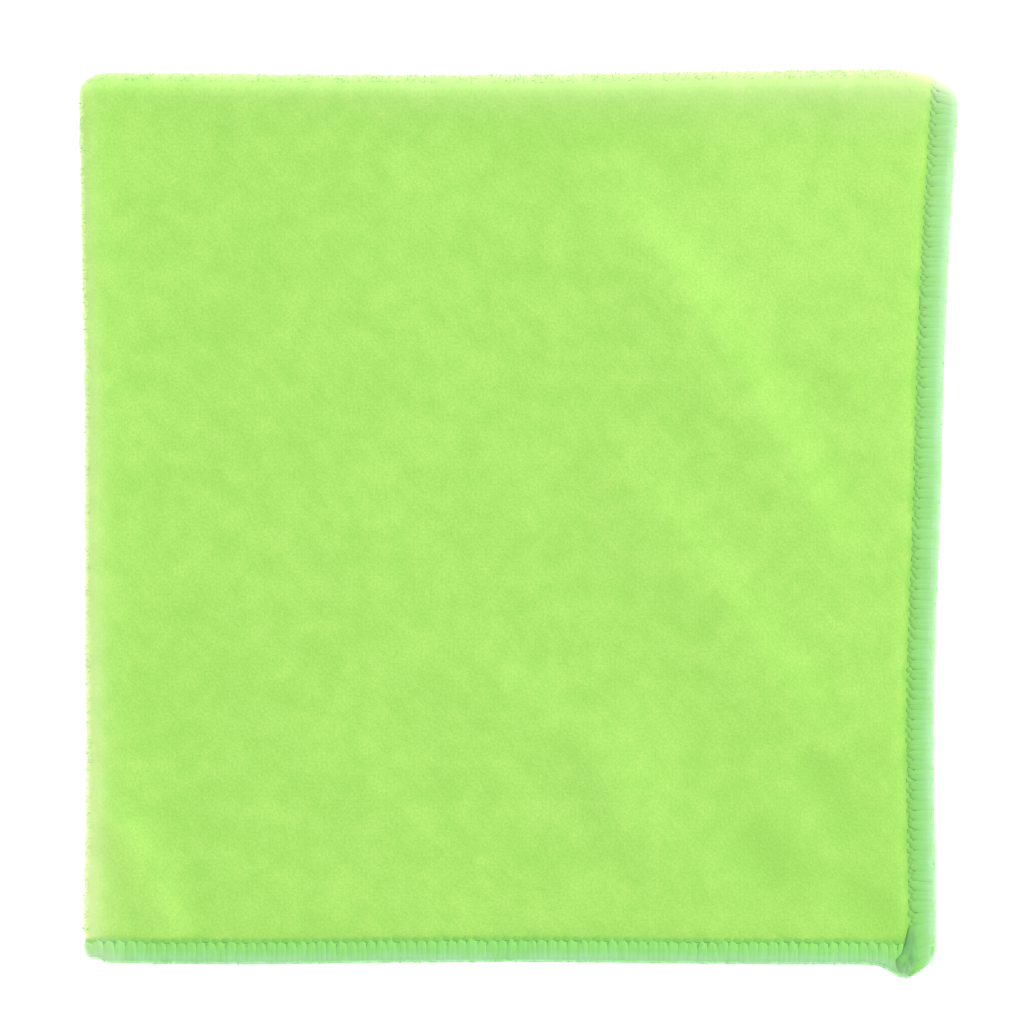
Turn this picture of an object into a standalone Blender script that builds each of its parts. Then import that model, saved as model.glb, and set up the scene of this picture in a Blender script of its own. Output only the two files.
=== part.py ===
"""Microfibre cleaning cloth, folded in four and lying flat on a surface.

Metres, +Z up. The face that is looked at is +Z, with its right at +X and its top at +Y. The cloth
is one square sheet. It is folded once about its left side and then once about its top side, so
four layers lie a little apart, closed at the left and the top, with the free edges together at
the right and the foot. The origin is the middle of the footprint, on the surface it lies on.
"""

from collections import namedtuple

import bmesh
import bpy
import numpy as np
from mathutils import Matrix

MM = 0.001
QUARTER_TURN = np.pi / 2

# The cloth and its stack of four layers.
CLOTH_THICK = 1.5 * MM                  # ground and the pile of both faces
LAYER_GAP = 0.6 * MM
LAYER_STEP = CLOTH_THICK + LAYER_GAP    # from the middle of one layer to the next
FIRST_RADIUS = LAYER_STEP / 2           # middle of the cloth, round the left fold
SECOND_RADIUS = LAYER_STEP              # middle of the doubled cloth, round the top fold
TOP_FOLD_REACH = SECOND_RADIUS + FIRST_RADIUS + CLOTH_THICK / 2     # outside of the top fold
LOWEST_MIDDLE = CLOTH_THICK / 2         # height of the lowest layer's middle
STACK_MIDDLE = LOWEST_MIDDLE + 1.5 * LAYER_STEP
STACK_SPAN = 3 * LAYER_STEP             # from the lowest layer's middle to the highest one's

# The middle of the footprint is flat and rests on the surface. It is a plain rectangle. The
# outline lies outside it, where the whole stack lifts by a hair's breadth.
REST_LEFT = -66.0 * MM
REST_RIGHT = 60.0 * MM
REST_TOP = 64.0 * MM
REST_FOOT = -65.0 * MM
RIM_LIFT = 0.25 * MM

# The two outer layers stop short of the inner ones, which have less far to go round the folds.
SETBACK_RIGHT = 0.2 * MM
SETBACK_FOOT = 0.3 * MM

# The outline, in millimetres from the middle: where a mark is along its side, and how far out
# the side lies there.
Mark = namedtuple("Mark", "along out")
LEFT_SIDE = (
    Mark(along=-76.0, out=-73.7),
    Mark(along=-46.0, out=-73.1),
    Mark(along=-8.0, out=-73.3),
    Mark(along=26.0, out=-73.4),
    Mark(along=48.0, out=-73.9),
    Mark(along=76.0, out=-74.3),
)
RIGHT_SIDE = (
    Mark(along=-76.0, out=70.4),
    Mark(along=-24.0, out=70.1),
    Mark(along=0.0, out=71.0),
    Mark(along=26.0, out=71.7),
    Mark(along=48.0, out=72.7),
    Mark(along=76.0, out=74.4),
)
TOP_SIDE = (
    Mark(along=-74.0, out=75.3),
    Mark(along=-58.0, out=75.3),
    Mark(along=-36.0, out=75.1),
    Mark(along=2.0, out=75.1),
    Mark(along=40.0, out=75.7),
    Mark(along=74.0, out=76.0),
)
FOOT_SIDE = (
    Mark(along=-73.0, out=-75.0),
    Mark(along=-50.0, out=-75.3),
    Mark(along=-18.0, out=-75.0),
    Mark(along=0.0, out=-74.9),
    Mark(along=30.0, out=-75.2),
    Mark(along=70.0, out=-75.4),
)

# Each rounded corner: its length along the top or foot, and its depth along the side.
Corner = namedtuple("Corner", "length depth")
TOP_LEFT = Corner(length=2.0 * MM, depth=2.0 * MM)
TOP_RIGHT = Corner(length=9.6 * MM, depth=4.8 * MM)
FOOT_LEFT = Corner(length=2.0 * MM, depth=2.4 * MM)
FOOT_RIGHT = Corner(length=2.2 * MM, depth=2.2 * MM)
CORNER_SHARE = 1 - np.sqrt(0.5)         # how far a round corner lies inside a sharp one

# The point that the sewn edge pulls the cloth into, beside the lower right corner.
EAR_PLACE = 65.4 * MM
EAR_WIDTH = 3.2 * MM
EAR_REACH = 2.3 * MM
LOWER_EAR_SHARE = 0.3                   # of that reach, on the two lower layers

# The upper face: soft ridges (hollows where the height is negative), in millimetres: from where
# to where, how far the middle bends upwards, the height, and the widths above and below.
Ridge = namedtuple("Ridge", "x_from y_from x_to y_to bend height above below")
RIDGES = (
    Ridge(x_from=8, y_from=61, x_to=57, y_to=-18, bend=4.8, height=1.10, above=5.0, below=16.0),
    Ridge(x_from=11, y_from=17, x_to=54, y_to=-44, bend=1.0, height=0.80, above=5.0, below=11.0),
    Ridge(x_from=-10, y_from=-23, x_to=28, y_to=-57, bend=1.0, height=0.42, above=5.0, below=7.5),
    Ridge(x_from=8, y_from=-32, x_to=28, y_to=-66, bend=0.0, height=0.50, above=9.0, below=4.5),
    Ridge(x_from=-30, y_from=-40, x_to=-16, y_to=-56, bend=0.0, height=0.26, above=4.5, below=6.0),
    Ridge(x_from=-70, y_from=-48, x_to=-57, y_to=-74, bend=0.5, height=0.65, above=3.5, below=4.0),
    Ridge(x_from=34, y_from=-52, x_to=45, y_to=-65, bend=0.0, height=-0.60, above=4.5, below=7.0),
    Ridge(x_from=45, y_from=-38, x_to=56, y_to=-54, bend=0.0, height=-0.44, above=4.0, below=6.0),
    Ridge(x_from=53, y_from=-60, x_to=63, y_to=-72, bend=0.0, height=-0.46, above=4.0, below=6.0),
)
RIDGE_TAPER = 0.3                       # share of a ridge's length over which each end fades

# The folds spring up a little, and the sewn edges press the stack down.
FOLD_SPRING = 0.7 * MM
FOLD_SPRING_WIDTH = 9.0 * MM
EDGE_PRESS = 0.3 * MM
EDGE_PRESS_WIDTH = 7.0 * MM

# The sheet's grid: even cells over the resting middle, and two belts of cells outside it, whose
# lines are shares of the way from the outline inwards.
MIDDLE_CELLS = 18
FOLD_BELT = (0.4,)
EDGE_BELT = (0.15, 0.5)
FIRST_TURN_CELLS = 6
SECOND_TURN_CELLS = 8

CLOTH_COLOUR = (0.445, 0.831, 0.171, 1.0)
CLOTH_ROUGHNESS = 0.95


def side_line(marks, along):
    """How far out a side lies, on one smooth line through its marks."""
    spots = np.array([mark.along for mark in marks]) * MM
    outs = np.array([mark.out for mark in marks]) * MM
    slopes = np.gradient(outs, spots)
    along = np.clip(along, spots[0], spots[-1])
    first = np.clip(np.searchsorted(spots, along, side="right") - 1, 0, len(spots) - 2)
    span = spots[first + 1] - spots[first]
    t = (along - spots[first]) / span
    ease = t * t * (3 - 2 * t)
    lean = t * (1 - t) ** 2 * slopes[first] - t * t * (1 - t) * slopes[first + 1]
    return outs[first] * (1 - ease) + outs[first + 1] * ease + span * lean


def corner_cut(distance, size, other_size):
    """How far a round corner draws an edge in, at a distance along it from the corner."""
    inward = np.clip(1 - distance / size, 0, 1)
    return CORNER_SHARE * other_size * inward ** 2


def left_line(y, top, foot):
    """Where the left side lies at a height y between the top and the foot."""
    cut = corner_cut(top - y, TOP_LEFT.depth, TOP_LEFT.length)
    return side_line(LEFT_SIDE, y) + cut + corner_cut(y - foot, FOOT_LEFT.depth, FOOT_LEFT.length)


def right_line(y, top, foot):
    """Where the right side lies at a height y between the top and the foot."""
    cut = corner_cut(top - y, TOP_RIGHT.depth, TOP_RIGHT.length)
    cut = cut + corner_cut(y - foot, FOOT_RIGHT.depth, FOOT_RIGHT.length)
    return side_line(RIGHT_SIDE, y) - cut


def end_lines(x, left, right, ear_share):
    """Where the top and the foot lie at a place x between the left and right sides."""
    top_cut = corner_cut(x - left, TOP_LEFT.length, TOP_LEFT.depth)
    top_cut = top_cut + corner_cut(right - x, TOP_RIGHT.length, TOP_RIGHT.depth)
    foot_cut = corner_cut(x - left, FOOT_LEFT.length, FOOT_LEFT.depth)
    foot_cut = foot_cut + corner_cut(right - x, FOOT_RIGHT.length, FOOT_RIGHT.depth)
    ear = ear_share * EAR_REACH * np.exp(-((x - EAR_PLACE) / EAR_WIDTH) ** 2)
    return side_line(TOP_SIDE, x) - top_cut, side_line(FOOT_SIDE, x) + foot_cut - ear


def grid_lines(turn_cells):
    """The grid's lines from one free edge, round a fold, to the other free edge.

    The first list is how far each line has gone round the fold, from minus to plus a quarter
    turn. The second is its place on the way from the fold to its free edge: 0 to 1 in the belt
    by the fold, 1 to 2 over the resting middle and 2 to 3 in the belt by the edge.
    """
    fold_belt = np.array(FOLD_BELT)
    middle = np.linspace(1, 2, MIDDLE_CELLS + 1)
    edge_belt = 3 - np.array(EDGE_BELT[::-1])
    places = np.concatenate((fold_belt, middle, edge_belt, (3.0,)))
    arc = np.linspace(-QUARTER_TURN, QUARTER_TURN, turn_cells + 1)
    side = np.full(len(places), QUARTER_TURN)
    turns = np.concatenate((-side, arc, side))
    runs = np.concatenate((places[::-1], np.zeros(len(arc)), places))
    return turns, runs


def spread(run, *stops):
    """The place of a grid line between the fold, the two ends of the middle and the edge."""
    place = stops[0]
    for step, (start, end) in enumerate(zip(stops, stops[1:])):
        place = place + np.clip(run - step, 0, 1) * (end - start)
    return place


def belt_share(run):
    """How far a grid line is through a belt: 0 all over the middle, 1 on the outline."""
    return np.clip(1 - run, 0, 1) + np.clip(run - 2, 0, 1)


def ridge_height(ridge, x, y):
    """Height of one soft ridge, which fades out across its width and at both its ends."""
    start = np.array((ridge.x_from, ridge.y_from)) * MM
    way = np.array((ridge.x_to, ridge.y_to)) * MM - start
    length = np.hypot(*way)
    along = ((x - start[0]) * way[0] + (y - start[1]) * way[1]) / length ** 2
    across = ((y - start[1]) * way[0] - (x - start[0]) * way[1]) / length
    across = across - ridge.bend * MM * 4 * along * (1 - along)
    width = np.where(across > 0, ridge.above, ridge.below) * MM
    fade = np.clip(np.minimum(along, 1 - along) / RIDGE_TAPER, 0, 1)
    fade = fade * fade * (3 - 2 * fade)
    return ridge.height * MM * np.exp(-(across / width) ** 2) * fade


def relief(x, y, from_left, from_top, from_right, from_foot):
    """How far the upper face stands above or below its even height."""
    height = sum(ridge_height(ridge, x, y) for ridge in RIDGES)
    for distance in (from_left, from_top):
        height = height + FOLD_SPRING * np.exp(-(distance / FOLD_SPRING_WIDTH) ** 2)
    for distance in (from_right, from_foot):
        height = height - EDGE_PRESS * np.exp(-(distance / EDGE_PRESS_WIDTH) ** 2)
    return height


def fold(first_turn, first_run, second_turn, second_run):
    """Where points of the flat sheet lie once it is folded: their x, y and z."""
    lift = FIRST_RADIUS * np.sin(first_turn)
    radius = SECOND_RADIUS + lift
    outer = 0.5 + 0.5 * np.sin(first_turn)      # 1 on the two outer layers, 0 on the inner ones
    upper = 0.5 + 0.5 * np.sin(second_turn)     # 1 on the two upper layers, 0 on the lower ones
    ear_share = LOWER_EAR_SHARE + (1 - LOWER_EAR_SHARE) * upper

    even_top, even_foot = TOP_SIDE[0].out * MM, FOOT_SIDE[0].out * MM
    drop = TOP_FOLD_REACH * (1 - np.cos(second_turn))
    even_y = spread(second_run, even_top - drop, REST_TOP, REST_FOOT, even_foot)
    left = left_line(even_y, even_top, even_foot)
    even_y = spread(second_run, even_top - outer * drop, REST_TOP, REST_FOOT, even_foot)
    right = right_line(even_y, even_top, even_foot)
    fold_x = left + CLOTH_THICK / 2 + FIRST_RADIUS
    even_x = spread(first_run, fold_x, REST_LEFT, REST_RIGHT, right)
    setback_x = SETBACK_RIGHT * outer * np.clip(first_run - 2, 0, 1)
    x = even_x - FIRST_RADIUS * np.cos(first_turn) - setback_x

    top, foot = end_lines(even_x, fold_x, right, ear_share)
    fold_y = top - TOP_FOLD_REACH
    edge_y = foot + SETBACK_FOOT * outer
    y = spread(second_run, fold_y, REST_TOP, REST_FOOT, edge_y) + radius * np.cos(second_turn)

    height = relief(even_x, y, even_x - left, top - y, right - even_x, y - foot)
    even_z = STACK_MIDDLE + radius * np.sin(second_turn)
    lift_share = np.maximum(belt_share(first_run), belt_share(second_run))
    z = LOWEST_MIDDLE + (even_z - LOWEST_MIDDLE) * (1 + height / STACK_SPAN)
    return x, y, z + RIM_LIFT * lift_share ** 2


def cloth_material():
    material = bpy.data.materials.new("cloth")
    material.use_nodes = True
    shader = material.node_tree.nodes["Principled BSDF"]
    shader.inputs["Base Color"].default_value = CLOTH_COLOUR
    shader.inputs["Roughness"].default_value = CLOTH_ROUGHNESS
    shader.inputs["Metallic"].default_value = 0.0
    return material


def make_cloth(collection):
    """The whole cloth: a flat grid, folded point by point and given its thickness."""
    first_turns, first_runs = grid_lines(FIRST_TURN_CELLS)
    second_turns, second_runs = grid_lines(SECOND_TURN_CELLS)
    columns = len(first_turns) - 1
    rows = len(second_turns) - 1

    mesh = bpy.data.meshes.new("cloth")
    bm = bmesh.new()
    bmesh.ops.create_grid(bm, x_segments=columns, y_segments=rows, size=1.0)
    bm.to_mesh(mesh)
    bm.free()

    points = np.empty(len(mesh.vertices) * 3)
    mesh.vertices.foreach_get("co", points)
    points = points.reshape(-1, 3)
    column = np.rint((points[:, 0] + 1) / 2 * columns).astype(int)
    row = np.rint((points[:, 1] + 1) / 2 * rows).astype(int)
    folded = fold(first_turns[column], first_runs[column], second_turns[row], second_runs[row])
    mesh.vertices.foreach_set("co", np.stack(folded, axis=1).ravel())
    mesh.materials.append(cloth_material())
    mesh.shade_smooth()

    cloth = bpy.data.objects.new("cloth", mesh)
    collection.objects.link(cloth)
    thickness = cloth.modifiers.new("thickness", "SOLIDIFY")
    thickness.thickness = CLOTH_THICK
    thickness.offset = 0.0
    thickness.use_even_offset = True
    thickness.use_rim = True
    return cloth


def centre_footprint(cloth):
    """Moves the mesh sideways so that the middle of its footprint is the origin."""
    solid = cloth.evaluated_get(bpy.context.evaluated_depsgraph_get())
    corners = np.array(solid.bound_box)
    middle = (corners.min(axis=0) + corners.max(axis=0)) / 2
    cloth.data.transform(Matrix.Translation((-middle[0], -middle[1], 0.0)))


def main():
    for thing in list(bpy.data.objects):
        bpy.data.objects.remove(thing, do_unlink=True)
    collection = bpy.data.collections.new("microfibre_cloth")
    bpy.context.scene.collection.children.link(collection)
    cloth = make_cloth(collection)
    centre_footprint(cloth)


main()
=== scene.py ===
from collections import namedtuple

import bmesh
import bpy
import numpy as np
from bpy.props import FloatProperty, FloatVectorProperty, PointerProperty
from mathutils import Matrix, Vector


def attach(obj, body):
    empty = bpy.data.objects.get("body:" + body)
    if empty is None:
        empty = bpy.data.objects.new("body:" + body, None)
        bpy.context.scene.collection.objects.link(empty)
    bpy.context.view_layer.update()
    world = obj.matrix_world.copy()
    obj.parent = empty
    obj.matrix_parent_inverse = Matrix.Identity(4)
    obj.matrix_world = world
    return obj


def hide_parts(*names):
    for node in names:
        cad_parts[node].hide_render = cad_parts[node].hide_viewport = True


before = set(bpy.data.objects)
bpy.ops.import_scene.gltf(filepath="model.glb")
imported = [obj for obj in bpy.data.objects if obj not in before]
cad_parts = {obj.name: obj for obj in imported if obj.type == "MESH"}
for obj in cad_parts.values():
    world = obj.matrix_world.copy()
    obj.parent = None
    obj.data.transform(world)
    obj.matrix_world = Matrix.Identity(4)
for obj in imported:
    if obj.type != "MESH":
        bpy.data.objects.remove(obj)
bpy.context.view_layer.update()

bl_info = {
    "name": "Folded microfibre cloth",
    "version": (1, 0, 0),
    "blender": (4, 5, 0),
    "location": "View3D > Sidebar > Cloth",
    "description": "A square microfibre cloth folded in four, with its overlocked edges",
    "category": "Object",
}

MM = 0.001
QUARTER_TURN = np.pi / 2


def table(kind, *rows):
    """A short table, whose columns have the names that its kind of row gives them."""
    return tuple(kind(*row) for row in rows)


# The cloth and its stack of four layers.
CLOTH_THICK = 1.5 * MM
LAYER_GAP = 0.6 * MM
LAYER_STEP = CLOTH_THICK + LAYER_GAP
FIRST_RADIUS = LAYER_STEP / 2
SECOND_RADIUS = LAYER_STEP
TOP_FOLD_REACH = SECOND_RADIUS + FIRST_RADIUS + CLOTH_THICK / 2
LOWEST_MIDDLE = CLOTH_THICK / 2
STACK_MIDDLE = LOWEST_MIDDLE + 1.5 * LAYER_STEP
STACK_SPAN = 3 * LAYER_STEP
FLAT_SIZE = (0.290, 0.300)
FLAT_HALF = FLAT_SIZE[0] / 2

# The middle of the footprint rests on the surface, and the outline outside it lifts a little.
REST_LEFT = -66.0 * MM
REST_RIGHT = 60.0 * MM
REST_TOP = 64.0 * MM
REST_FOOT = -65.0 * MM
RIM_LIFT = 0.25 * MM
SETBACK_RIGHT = 0.2 * MM
SETBACK_FOOT = 0.3 * MM

# From where the outline's marks are measured to the middle of the footprint.
FOOTPRINT_SHIFT = np.array((0.0940, 0.8681, 0.0)) * MM

# The outline's marks, in millimetres: the place along each side, and how far out it lies there.
Mark = namedtuple("Mark", "along out")
LEFT_SIDE = table(
    Mark, (-76.0, -73.7), (-46.0, -73.1), (-8.0, -73.3), (26.0, -73.4), (48.0, -73.9),
    (76.0, -74.3),
)
RIGHT_SIDE = table(
    Mark, (-76.0, 70.4), (-24.0, 70.1), (0.0, 71.0), (26.0, 71.7), (48.0, 72.7), (76.0, 74.4),
)
TOP_SIDE = table(
    Mark, (-74.0, 75.3), (-58.0, 75.3), (-36.0, 75.1), (2.0, 75.1), (40.0, 75.7), (74.0, 76.0),
)
FOOT_SIDE = table(
    Mark, (-73.0, -75.0), (-50.0, -75.3), (-18.0, -75.0), (0.0, -74.9), (30.0, -75.2),
    (70.0, -75.4),
)

Corner = namedtuple("Corner", "length depth")
TOP_LEFT = Corner(length=2.0 * MM, depth=2.0 * MM)
TOP_RIGHT = Corner(length=9.6 * MM, depth=4.8 * MM)
FOOT_LEFT = Corner(length=2.0 * MM, depth=2.4 * MM)
FOOT_RIGHT = Corner(length=2.2 * MM, depth=2.2 * MM)
CORNER_SHARE = 1 - np.sqrt(0.5)

EAR_PLACE = 65.4 * MM
EAR_WIDTH = 3.2 * MM
EAR_REACH = 2.3 * MM
LOWER_EAR_SHARE = 0.3

# The upper face's soft ridges, and its hollows, in millimetres: from where to where, how far the
# middle bends upwards, the height, and the widths above and below. The solid lacks the last one.
Ridge = namedtuple("Ridge", "x_from y_from x_to y_to bend height above below")
RIDGES = table(
    Ridge,
    (8, 61, 57, -18, 4.8, 1.10, 5.0, 16.0),
    (11, 17, 54, -44, 1.0, 0.80, 5.0, 11.0),
    (-10, -23, 28, -57, 1.0, 0.42, 5.0, 7.5),
    (8, -32, 28, -66, 0.0, 0.50, 9.0, 4.5),
    (-30, -40, -16, -56, 0.0, 0.26, 4.5, 6.0),
    (-70, -48, -57, -74, 0.5, 0.65, 3.5, 4.0),
    (34, -52, 45, -65, 0.0, -0.60, 4.5, 7.0),
    (45, -38, 56, -54, 0.0, -0.44, 4.0, 6.0),
    (53, -60, 63, -72, 0.0, -0.46, 4.0, 6.0),
    (49, 32, 61, 14, 0.0, 0.16, 2.6, 3.5),
)
RIDGE_TAPER = 0.3

FOLD_SPRING = 0.7 * MM
FOLD_SPRING_WIDTH = 9.0 * MM
EDGE_PRESS = 0.3 * MM
EDGE_PRESS_WIDTH = 7.0 * MM

# Gentle waves all over the sheet, which no hand smooths out: how long and how high they are.
Waves = namedtuple("Waves", "length height seed")
WAVES = table(Waves, (21.0, 0.05, 3), (8.0, 0.025, 8))
WAVE_DIRECTIONS = 9
WAVE_LENGTHS = (0.7, 1.5)               # shares of the row's length

# Ways run over the flat sheet in each direction: 0 to 1 is half the fold, 1 to 2 the belt beside
# it, 2 to 3 the resting middle and 3 to 4 the belt by the free edge. They are negative on the
# inner and the lower layers.
FOLD_END = 1
EDGE_BELT = 3
FREE_EDGE = 4
WAY_STOPS = (0, FOLD_END, FOLD_END + 1, EDGE_BELT, FREE_EDGE)

# The same stops in metres over the flat sheet, across it and down it.
ACROSS = np.cumsum(
    (0, QUARTER_TURN * FIRST_RADIUS, 7.0 * MM, REST_RIGHT - REST_LEFT, 12.0 * MM)
)
DOWN = np.cumsum((0, QUARTER_TURN * SECOND_RADIUS, 7.0 * MM, REST_TOP - REST_FOOT, 10.0 * MM))

# The fine sheet's lines: cells round half the fold, over the belt beside it and over the middle,
# on the layers that show and on those that don't.
Fineness = namedtuple("Fineness", "turn belt middle")
SHOWN_CELLS = Fineness(turn=7, belt=8, middle=122)
HIDDEN_CELLS = Fineness(turn=6, belt=4, middle=34)

# The lines by a free edge: millimetres from it where the belt there is narrowest. Where it is
# wider, only the lines far from the edge spread out.
EDGE_LINES = (7.9, 7.1, 6.4, 5.8, 5.2, 4.8, 4.4, 4.0, 3.2, 2.2, 1.2, 0.5, 0.0)
HIDDEN_EDGE_LINES = (7.3, 5.8, 5.0, 4.4, 3.0, 1.2, 0.0)
NARROWEST_BELT = 8.6 * MM
EDGE_LINE_HOLD = 6                      # how closely the lines near the edge keep to it

# How the sewing squeezes the cloth: its share of the full thickness, by millimetres from the edge.
Squeeze = namedtuple("Squeeze", "inward share")
SEAM_SQUEEZE = table(
    Squeeze, (0.0, 0.58), (0.6, 0.76), (3.2, 0.76), (4.3, 0.60), (4.9, 0.72), (5.8, 0.88),
    (7.2, 1.00),
)

# One leg of the looper threads, ring by ring, from its bite in the face, round the free edge, to
# its bite in the back. Millimetres inwards from the edge and above the middle of the cloth, and
# half the thread's width and height.
Ring = namedtuple("Ring", "inward rise width height")
LEG_RINGS = table(
    Ring,
    (4.40, 0.16, 0.20, 0.08),
    (4.16, 0.40, 0.34, 0.12),
    (3.60, 0.54, 0.62, 0.14),
    (2.50, 0.60, 0.88, 0.15),
    (1.20, 0.58, 0.94, 0.15),
    (0.18, 0.47, 0.94, 0.14),
    (-0.16, 0.00, 0.92, 0.12),
    (0.18, -0.42, 0.94, 0.12),
    (1.30, -0.58, 0.88, 0.12),
    (2.90, -0.60, 0.64, 0.10),
    (4.05, -0.42, 0.42, 0.09),
    (4.34, -0.16, 0.20, 0.08),
)
LEG_SPREAD_AT_NEEDLE = 0.18 * MM
LEG_SPREAD_AT_EDGE_SHARE = 0.25         # of the pitch

# The needle thread's short bars on the face, from bite to bite: shares of the pitch along.
Bar = namedtuple("Bar", "along inward rise width height")
BAR_RINGS = table(
    Bar,
    (-0.42, 4.08, 0.24, 0.24, 0.06),
    (-0.30, 4.05, 0.40, 0.46, 0.08),
    (-0.14, 4.04, 0.49, 0.56, 0.09),
    (0.14, 4.04, 0.49, 0.56, 0.09),
    (0.30, 4.05, 0.40, 0.46, 0.08),
    (0.42, 4.08, 0.24, 0.24, 0.06),
)
NEEDLE_LINE = 4.36 * MM                 # how far in from the edge the needle goes through
LEAST_REACH = 0.2                       # of that, where a rounded corner cuts the sewing short
THREAD_SIDES = 8
RING_STEP = 0.01                        # of a ring, to find which way a thread runs there

# The sewing passes over the end of the earlier row at the corner, and rises there.
CORNER_RISE = 0.22
CORNER_REACH = 5.2 * MM

# The two rows: how far they reach inwards, as a share, how strong their painted highlight is where
# they go round the fold, and how much of that is left halfway along. Then how uneven they are:
# shares of the pitch, of the threads' width and of their height, and millimetres of their reach.
# Then how many millimetres further in the needle thread's dashes lie and how long they are,
# whether the row rises at the corner, and its seed.
Row = namedtuple("Row", "reach pale fading along width rise inward needle dash lifted seed")
RIGHT_ROW = Row(
    reach=1.0, pale=1.0, fading=0.16, along=0.03, width=0.06, rise=0.012, inward=0.16,
    needle=-0.04, dash=1.0, lifted=True, seed=11,
)
FOOT_ROW = Row(
    reach=0.86, pale=0.3, fading=0.0, along=0.04, width=0.06, rise=0.014, inward=0.16,
    needle=0.44, dash=2.0, lifted=False, seed=23,
)
FOLD_HIGHLIGHT_REACH = 6.0 * MM                   # along the edge from the fold, as is the next one
FADING_REACH = 70.0 * MM

# The chain of thread left at the lower right corner: millimetres from the right end of the foot
# edge, inwards from it and above the middle of the cloth, and the plait's half width there.
Tail = namedtuple("Tail", "from_end inward rise spread")
TAIL_PATH = table(
    Tail,
    (4.0, 9.0, 0.30, 0.04),
    (4.2, 7.4, 0.52, 0.14),
    (4.4, 5.4, 0.66, 0.26),
    (4.8, 3.7, 0.74, 0.56),
    (5.2, 2.3, 0.76, 1.00),
    (5.3, 1.1, 0.64, 0.98),
    (5.3, 0.0, 0.22, 0.55),
)
TAIL_STRANDS = 4
TAIL_RINGS = 44
TAIL_TURNS = 0.7
TAIL_STRAND = 0.86 * MM                 # half a strand's width
TAIL_FLATNESS = 0.4
TAIL_CROSSING = 0.05 * MM
TAIL_TAPER = 0.08                       # share of the chain's length over which its ends taper
TAIL_TIP = 0.15                         # share of a strand's width that its tips keep
TAIL_RIM_PALER = 0.12

# The camera looks straight down at the middle of the photograph's frame.
VIEW_MIDDLE = (-1.09 * MM, 1.88 * MM)
VIEW_WIDTH = 173.6 * MM
WHITE = (1.0, 1.0, 1.0, 1.0)
PAPER = (0.9, 0.9, 0.9, 1.0)
FLOOR_HALF = 4.0
FLOOR_DROP = 0.05 * MM                  # keeps the floor clear of the cloth's lowest points
SENSOR_WIDTH = 36.0

# The lamps. The low strips stand on the floor and light only the folds' sides and the rims.
Lamp = namedtuple("Lamp", "name x y z size height share")
LAMPS = table(
    Lamp,
    ("key_softbox", 1.62, 1.10, 1.42, 1.1, 1.1, 1.0),
    ("overhead_softbox", -0.1, 0.1, 1.5, 1.2, 1.2, 0.05),
    ("left_strip", -0.5, 0.0, 0.004, 0.5, 0.007, 0.016),
    ("lower_strip", 0.0, -0.5, 0.004, 0.5, 0.007, 0.012),
)

# The fuzz of the pile along the two folds: where it grows, in millimetres over the flat sheet
# from the first and the second fold, how many fibres, and how long and thick they are.
Fuzz = namedtuple("Fuzz", "across_from across_to down_from down_to count length thick")
FOLD_FUZZ = table(
    Fuzz,
    (-1.2, 1.1, 0, 145, 3400, 1.3, 0.10),
    (-1.2, 1.1, -145, 0, 1600, 1.1, 0.10),
    (1, 140, -1.8, 2.0, 5200, 1.3, 0.10),
)
FUZZ_SEED = 41
FIBRE_SIDES = 3
FIBRE_LEAN = 0.5
FIBRE_MOST_LEAN = 1.5
FIBRE_ROOT = 0.49                       # share of the cloth's thickness, just under its face
FIBRE_ASIDE = (0.31, 0.17, 0.94)        # any direction that no fibre takes
FIBRE_LENGTHS = (0.4, 1.0)              # shares of the row's length
FIBRE_THICKNESSES = (0.6, 1.0)          # shares of the row's thickness

# The fuzz of the sewn edges' rims, in millimetres: how far inwards and how high its fibres grow,
# how many there are to an edge, how long and thick they are, and how far they lean to the sides
# and up or down.
EdgeFuzz = namedtuple("EdgeFuzz", "inward_from inward_to high count length thick aside lift")
RIM_FUZZ = EdgeFuzz(
    inward_from=-0.1, inward_to=0.3, high=0.4, count=3200, length=1.3, thick=0.10, aside=0.5,
    lift=0.45
)
FLOOR_CLEARANCE = 0.06 * MM

# Patches of painted shade (below 0) and painted light on the upper face, where the light falls
# unevenly
# across it: millimetres from the middle, and the patch's half width and half height.
Patch = namedtuple("Patch", "x y wide high shade")
PATCHES = table(
    Patch, (41.7, -57.2, 4.8, 4.6, -1.00), (51.0, -43.4, 4.2, 3.8, -0.70),
    (55.4, -51.4, 3.8, 3.4, -0.75), (60.2, -66.4, 4.4, 4.2, -1.40),
    (46.0, -52.0, 22.0, 22.0, -0.30), (27.8, -15.5, 3.6, 2.6, -0.14),
    (3.6, -58.0, 4.0, 3.6, -0.20), (5.3, 65.2, 19.0, 4.2, -0.50), (-69.3, 46.3, 3.0, 4.0, -0.45),
    (-48.0, 38.6, 5.0, 3.0, -0.30), (-60.8, 29.3, 3.6, 3.6, -0.25),
    (-61.0, -31.0, 5.0, 14.0, -0.35), (-53.0, -14.0, 5.0, 3.0, -0.20),
    (-2.4, -14.0, 7.0, 3.0, -0.15), (-41.4, -2.0, 7.5, 4.0, 0.22), (18.0, 9.8, 5.0, 3.6, 0.30),
    (46.5, 48.5, 24.0, 17.0, 0.55), (-65.5, -56.5, 2.6, 5.0, 0.70),
    (-60.5, -66.0, 3.0, 4.6, 0.70), (-7.0, 14.0, 13.0, 6.0, 0.12),
)

# A painted highlight on the folds, where their rounded sides catch the light. How pale it is, at
# the fold's two ends, and in how many millimetres over the sheet that falls to a third.
Pale = namedtuple("Pale", "start end reach_start reach_end")
LEFT_FOLD_HIGHLIGHT = Pale(start=0.9, end=1.5, reach_start=1.1, reach_end=2.2)
TOP_FOLD_HIGHLIGHT = Pale(start=1.0, end=1.6, reach_start=1.3, reach_end=3.5)


def linear(red, green, blue):
    """A display colour, 0 to 255 a channel, as the linear colour that shaders use."""
    shown = np.array((red, green, blue)) / 255
    return tuple(float(part) for part in shown ** 2.2)


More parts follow.
